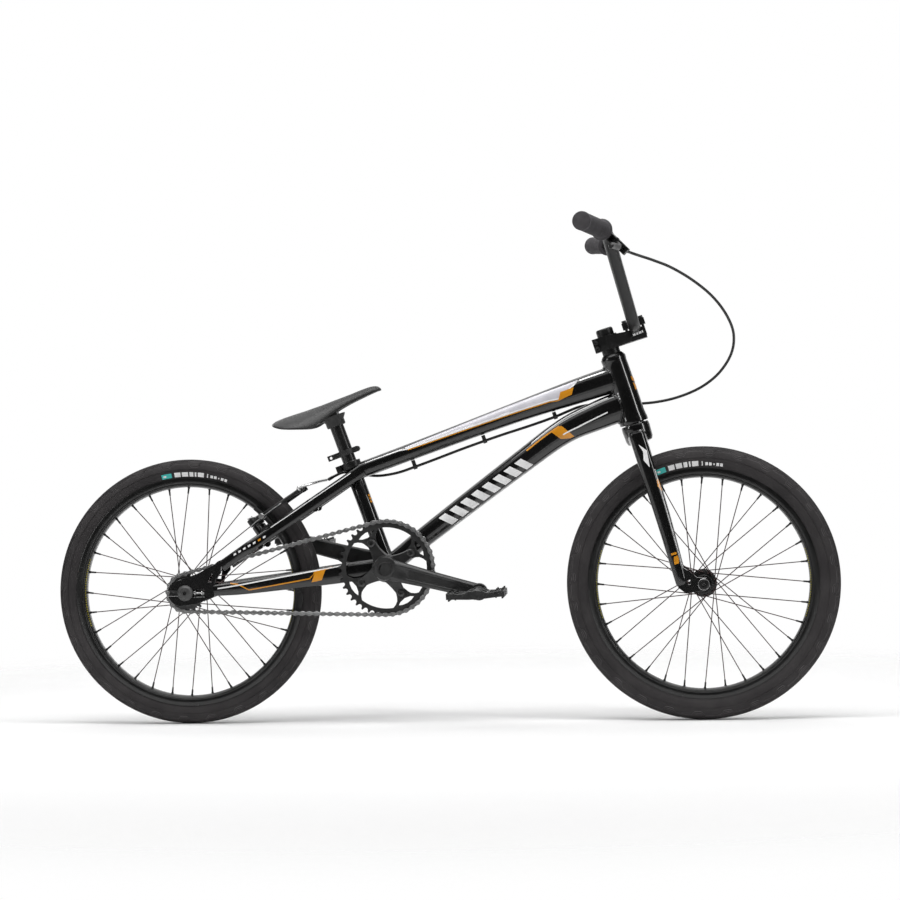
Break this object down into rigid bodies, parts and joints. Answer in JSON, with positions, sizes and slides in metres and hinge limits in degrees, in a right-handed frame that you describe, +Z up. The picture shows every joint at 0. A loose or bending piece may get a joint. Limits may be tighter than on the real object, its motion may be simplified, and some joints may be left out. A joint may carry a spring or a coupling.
{
  "type": "bmx bike",
  "caption": "Race bmx bicycle with aluminium frame, spoked wheels, single-speed chain drive, high handlebar and a rear brake.",
  "frame": {"origin": "on the ground, midway between the tyres' outer ends, in the bicycle's centre plane", "axes": "+X forwards, +Y to the rider's left, +Z up"},
  "size_m": [1.4275, 0.7202, 0.8997],
  "materials": {
    "frame_paint": "gloss black paint",
    "bar_paint": "satin black paint",
    "black_anodised": "black anodised",
    "crank_satin": "satin dark grey",
    "black_plastic": "moulded black plastic",
    "pedal_black": "moulded black nylon",
    "steel": "plain steel",
    "noodle_silver": "satin silver",
    "chain_grey": "grey steel",
    "cable_black": "black cable housing",
    "saddle_cover": "charcoal synthetic cover",
    "grip_rubber": "ribbed dark rubber",
    "brake_rubber": "moulded rubber block",
    "tyre_rubber": "dark grey tyre rubber",
    "tube_rubber": "butyl rubber",
    "spoke_black": "black oxide steel"
  },
  "bodies": {
    "frame": {"head_tube": "frame_paint", "top_tube": "frame_paint", "down_tube": "frame_paint", "seat_tube": "frame_paint", "bb_shell": "frame_paint", "chain_stays": "frame_paint", "seat_stays": "frame_paint", "chain_tensioners": "steel", "cable_guides": "black_plastic", "seat_clamp": "black_anodised", "seat_post": "bar_paint", "saddle": "saddle_cover", "saddle_base": "black_plastic", "reflector_bracket": "black_anodised", "bottom_bearings": "steel", "headset_bearings": "steel", "brake_cable": "cable_black", "rear_axle": "steel", "rear_axle_bolts": "black_anodised", "chain": "chain_grey"},
    "steering": {"fork_steerer": "frame_paint", "fork_legs": "frame_paint", "stem": "black_anodised", "stem_clamp_plate": "black_anodised", "stem_bolts": "steel", "headset_spacers": "black_anodised", "stem_cap": "black_anodised", "handlebar": "bar_paint", "grips": "grip_rubber", "lever_bracket": "black_anodised", "barrel_adjuster": "black_anodised", "front_axle": "steel", "front_axle_bolts": "black_anodised"},
    "brake_lever": {"brake_lever": "black_anodised"},
    "brake_arm_right": {"brake_arm_right": "black_anodised", "brake_pad_right": "brake_rubber", "brake_noodle": "noodle_silver"},
    "brake_arm_left": {"brake_arm_left": "black_anodised", "brake_pad_left": "brake_rubber", "brake_wire": "steel"},
    "front_wheel": {"front_tyre": "tyre_rubber", "front_inner_tube": "tube_rubber", "front_rim": "black_anodised", "front_hub": "black_anodised", "front_spokes": "spoke_black", "front_hub_bearings": "steel"},
    "rear_wheel": {"rear_tyre": "tyre_rubber", "rear_inner_tube": "tube_rubber", "rear_rim": "black_anodised", "rear_hub": "black_anodised", "rear_spokes": "spoke_black", "rear_hub_bearings": "steel"},
    "driver": {"rear_cog": "steel"},
    "crank": {"crank_arm_right": "crank_satin", "crank_arm_left": "crank_satin", "chainring": "black_anodised", "chainring_bolts": "steel", "pedal_spindles": "steel"},
    "pedal_right": {"pedal_right": "pedal_black"},
    "pedal_left": {"pedal_left": "pedal_black"}
  },
  "joints": [
    {"name": "steering", "type": "hinge", "parent": "frame", "child": "steering", "pos_m": [0.34547, 0, 0.5386], "axis": [-0.2957, 0, 0.9553], "range_deg": [-90, 90], "deforming": ["brake_cable"]},
    {"name": "front_wheel_spin", "type": "hinge", "parent": "steering", "child": "front_wheel", "pos_m": [0.46625, 0, 0.2475], "axis": [0, 1, 0], "continuous": true},
    {"name": "rear_wheel_spin", "type": "hinge", "parent": "frame", "child": "rear_wheel", "pos_m": [-0.47175, 0, 0.242], "axis": [0, 1, 0], "continuous": true},
    {"name": "crank_spin", "type": "hinge", "parent": "frame", "child": "crank", "pos_m": [-0.10595, 0, 0.2831], "axis": [0, 1, 0], "continuous": true, "deforming": ["chain"]},
    {"name": "cog_spin", "type": "hinge", "parent": "frame", "child": "driver", "pos_m": [-0.47175, 0, 0.242], "axis": [0, 1, 0], "continuous": true},
    {"name": "pedal_right_spin", "type": "hinge", "parent": "crank", "child": "pedal_right", "pos_m": [0.06355, 0, 0.23958], "axis": [0, 1, 0], "continuous": true},
    {"name": "pedal_left_spin", "type": "hinge", "parent": "crank", "child": "pedal_left", "pos_m": [-0.27545, 0, 0.32662], "axis": [0, 1, 0], "continuous": true},
    {"name": "lever_pull", "type": "hinge", "parent": "steering", "child": "brake_lever", "pos_m": [0.31982, -0.22681, 0.85403], "axis": [-0.6836, 0.1291, -0.7184], "range_deg": [0, 20], "stiffness_Nm_per_rad": 1.5, "springref_deg": -17.19},
    {"name": "arm_right_swing", "type": "hinge", "parent": "frame", "child": "brake_arm_right", "pos_m": [-0.33195, -0.041, 0.3427], "axis": [-0.5563, 0, 0.831], "range_deg": [0, 3.2], "deforming": ["brake_noodle"]},
    {"name": "arm_left_swing", "type": "hinge", "parent": "frame", "child": "brake_arm_left", "pos_m": [-0.33195, 0.041, 0.3427], "axis": [0.5563, 0, -0.831], "range_deg": [0, 3.2]}
  ],
  "couplings": [
    {"joint": "cog_spin", "follows": "crank_spin", "ratio": 2.4706},
    {"joint": "arm_right_swing", "follows": "lever_pull", "ratio": 0.16},
    {"joint": "arm_left_swing", "follows": "lever_pull", "ratio": 0.16}
  ]
}
